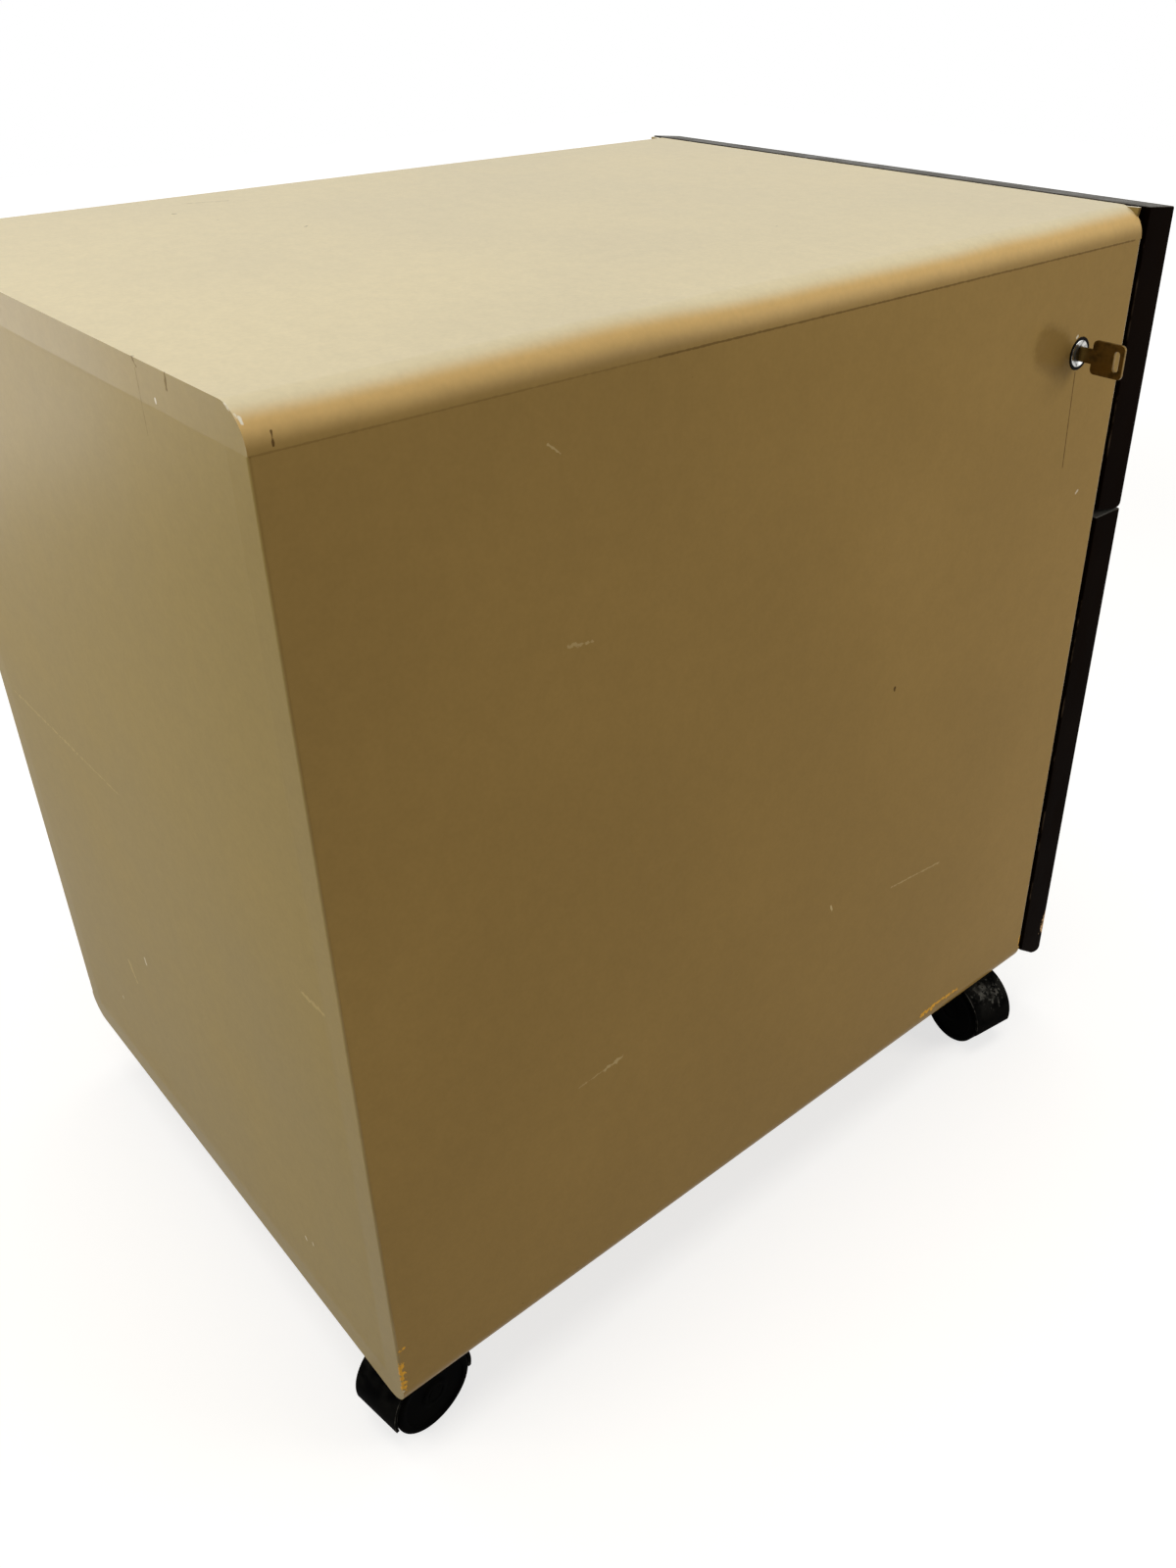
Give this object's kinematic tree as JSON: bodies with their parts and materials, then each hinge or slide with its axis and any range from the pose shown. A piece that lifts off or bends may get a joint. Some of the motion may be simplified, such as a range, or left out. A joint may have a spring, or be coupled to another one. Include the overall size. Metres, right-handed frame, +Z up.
{
  "type": "microfiche cabinet",
  "caption": "Low wheeled microfiche cabinet: beige board carcass with rounded long edges, dark drawer fronts on telescopic slides, a side cam lock with its key, and swivel casters.",
  "frame": {"origin": "on the floor, under the middle of the whole object's box at rest, key and casters included", "axes": "+Z up, +X to the right and -Y out of the drawer fronts, as seen by someone facing the fronts"},
  "size_m": [0.4358, 0.5678, 0.585],
  "materials": {
    "beige_paint": "satin paint on board",
    "dark_paint": "dark brown satin paint on board",
    "bare_board": "bare chipboard edge",
    "beech": "plain beech",
    "box_ply": "clear lacquered plywood",
    "hardboard": "smooth hardboard",
    "black_moulding": "fine grained moulding",
    "zinc_sheet": "zinc plated sheet",
    "zinc_screw": "zinc plated",
    "grey_paint": "grey enamel",
    "chrome": "polished chrome plate",
    "lock_brass": "dull plated brass",
    "key_brass": "worn brass",
    "caster_hood": "black moulded, dusty",
    "caster_wheel": "black moulded, worn tread",
    "axle_steel": "bright steel"
  },
  "bodies": {
    "carcass": {"top_panel": "beige_paint", "bottom_panel": "beige_paint", "left_side_panel": "beige_paint", "right_side_panel": "beige_paint", "back_panel": "beige_paint", "middle_rail": "bare_board", "carcass_dowels": "beech", "carcass_screws": "zinc_screw", "lock_bar_guides": "zinc_sheet", "upper_cabinet_channels": "zinc_sheet", "lower_cabinet_channels": "zinc_sheet", "caster_plates": "zinc_sheet", "caster_plate_screws": "zinc_screw", "lock_housing": "chrome", "lock_nut": "zinc_sheet"},
    "lock_core": {"lock_plug": "lock_brass", "lock_key": "key_brass", "lock_cam": "zinc_sheet", "lock_cam_screw": "zinc_screw"},
    "lock_bar": {"lock_bar": "zinc_sheet"},
    "upper_drawer": {"upper_front": "dark_paint", "upper_pull": "black_moulding", "upper_box_front": "box_ply", "upper_box_left": "box_ply", "upper_box_right": "box_ply", "upper_box_back": "box_ply", "upper_box_bottom": "hardboard", "upper_front_screws": "zinc_screw", "upper_drawer_channels": "zinc_sheet", "upper_channel_screws": "zinc_screw", "upper_lock_catch": "zinc_sheet", "upper_divider": "box_ply"},
    "upper_slide_middle": {"upper_middle_channels": "zinc_sheet"},
    "lower_drawer": {"lower_front": "dark_paint", "lower_pull": "black_moulding", "lower_box_front": "box_ply", "lower_box_left": "box_ply", "lower_box_right": "box_ply", "lower_box_back": "box_ply", "lower_box_bottom": "hardboard", "lower_front_screws": "zinc_screw", "lower_drawer_channels": "zinc_sheet", "lower_channel_screws": "zinc_screw", "lower_lock_catch": "zinc_sheet", "lower_hanging_rails": "zinc_sheet"},
    "lower_slide_middle": {"lower_middle_channels": "zinc_sheet"},
    "left_follower": {"upper_left_follower": "grey_paint"},
    "right_follower": {"upper_right_follower": "grey_paint"},
    "caster_front_left_swivel": {"caster_front_left_hood": "caster_hood"},
    "caster_front_left_wheels": {"caster_front_left_axle": "axle_steel", "caster_front_left_wheels": "caster_wheel"},
    "caster_front_right_swivel": {"caster_front_right_hood": "caster_hood"},
    "caster_front_right_wheels": {"caster_front_right_axle": "axle_steel", "caster_front_right_wheels": "caster_wheel"},
    "caster_back_left_swivel": {"caster_back_left_hood": "caster_hood"},
    "caster_back_left_wheels": {"caster_back_left_axle": "axle_steel", "caster_back_left_wheels": "caster_wheel"},
    "caster_back_right_swivel": {"caster_back_right_hood": "caster_hood"},
    "caster_back_right_wheels": {"caster_back_right_axle": "axle_steel", "caster_back_right_wheels": "caster_wheel"}
  },
  "joints": [
    {"name": "upper_drawer_slide", "type": "slide", "parent": "carcass", "child": "upper_drawer", "axis": [0, -1, 0], "range_m": [0, 0.46]},
    {"name": "upper_middle_slide", "type": "slide", "parent": "carcass", "child": "upper_slide_middle", "axis": [0, -1, 0], "range_m": [0, 0.23]},
    {"name": "lower_drawer_slide", "type": "slide", "parent": "carcass", "child": "lower_drawer", "axis": [0, -1, 0], "range_m": [0, 0.46]},
    {"name": "lower_middle_slide", "type": "slide", "parent": "carcass", "child": "lower_slide_middle", "axis": [0, -1, 0], "range_m": [0, 0.23]},
    {"name": "left_follower_slide", "type": "slide", "parent": "upper_drawer", "child": "left_follower", "axis": [0, -1, 0], "range_m": [0, 0.4045]},
    {"name": "right_follower_slide", "type": "slide", "parent": "upper_drawer", "child": "right_follower", "axis": [0, -1, 0], "range_m": [0, 0.4045]},
    {"name": "key_turn", "type": "hinge", "parent": "carcass", "child": "lock_core", "pos_m": [-0.1905, -0.2079, 0.5145], "axis": [1, 0, 0], "range_deg": [0, 90]},
    {"name": "lock_bar_slide", "type": "slide", "parent": "carcass", "child": "lock_bar", "axis": [0, 0, 1], "range_m": [0, 0.0254]},
    {"name": "front_left_swivel", "type": "hinge", "parent": "carcass", "child": "caster_front_left_swivel", "pos_m": [-0.1531, -0.2234, 0.053], "axis": [0, 0, 1], "continuous": true},
    {"name": "front_left_roll", "type": "hinge", "parent": "caster_front_left_swivel", "child": "caster_front_left_wheels", "pos_m": [-0.17293, -0.22079, 0.025], "axis": [-0.1305, -0.9914, 0], "continuous": true},
    {"name": "front_right_swivel", "type": "hinge", "parent": "carcass", "child": "caster_front_right_swivel", "pos_m": [0.1809, -0.2234, 0.053], "axis": [0, 0, 1], "continuous": true},
    {"name": "front_right_roll", "type": "hinge", "parent": "caster_front_right_swivel", "child": "caster_front_right_wheels", "pos_m": [0.17151, -0.20574, 0.025], "axis": [-0.8829, -0.4695, 0], "continuous": true},
    {"name": "back_left_swivel", "type": "hinge", "parent": "carcass", "child": "caster_back_left_swivel", "pos_m": [-0.1531, 0.2346, 0.053], "axis": [0, 0, 1], "continuous": true},
    {"name": "back_left_roll", "type": "hinge", "parent": "caster_back_left_swivel", "child": "caster_back_left_wheels", "pos_m": [-0.15575, 0.25442, 0.025], "axis": [-0.9912, -0.1323, 0], "continuous": true},
    {"name": "back_right_swivel", "type": "hinge", "parent": "carcass", "child": "caster_back_right_swivel", "pos_m": [0.1809, 0.2346, 0.053], "axis": [0, 0, 1], "continuous": true},
    {"name": "back_right_roll", "type": "hinge", "parent": "caster_back_right_swivel", "child": "caster_back_right_wheels", "pos_m": [0.16452, 0.22313, 0.025], "axis": [0.5736, -0.8192, 0], "continuous": true}
  ],
  "couplings": [
    {"joint": "upper_middle_slide", "follows": "upper_drawer_slide", "ratio": 0.5},
    {"joint": "lower_middle_slide", "follows": "lower_drawer_slide", "ratio": 0.5},
    {"joint": "key_turn", "follows": "lock_bar_slide", "rad_per_m": 61.842}
  ]
}
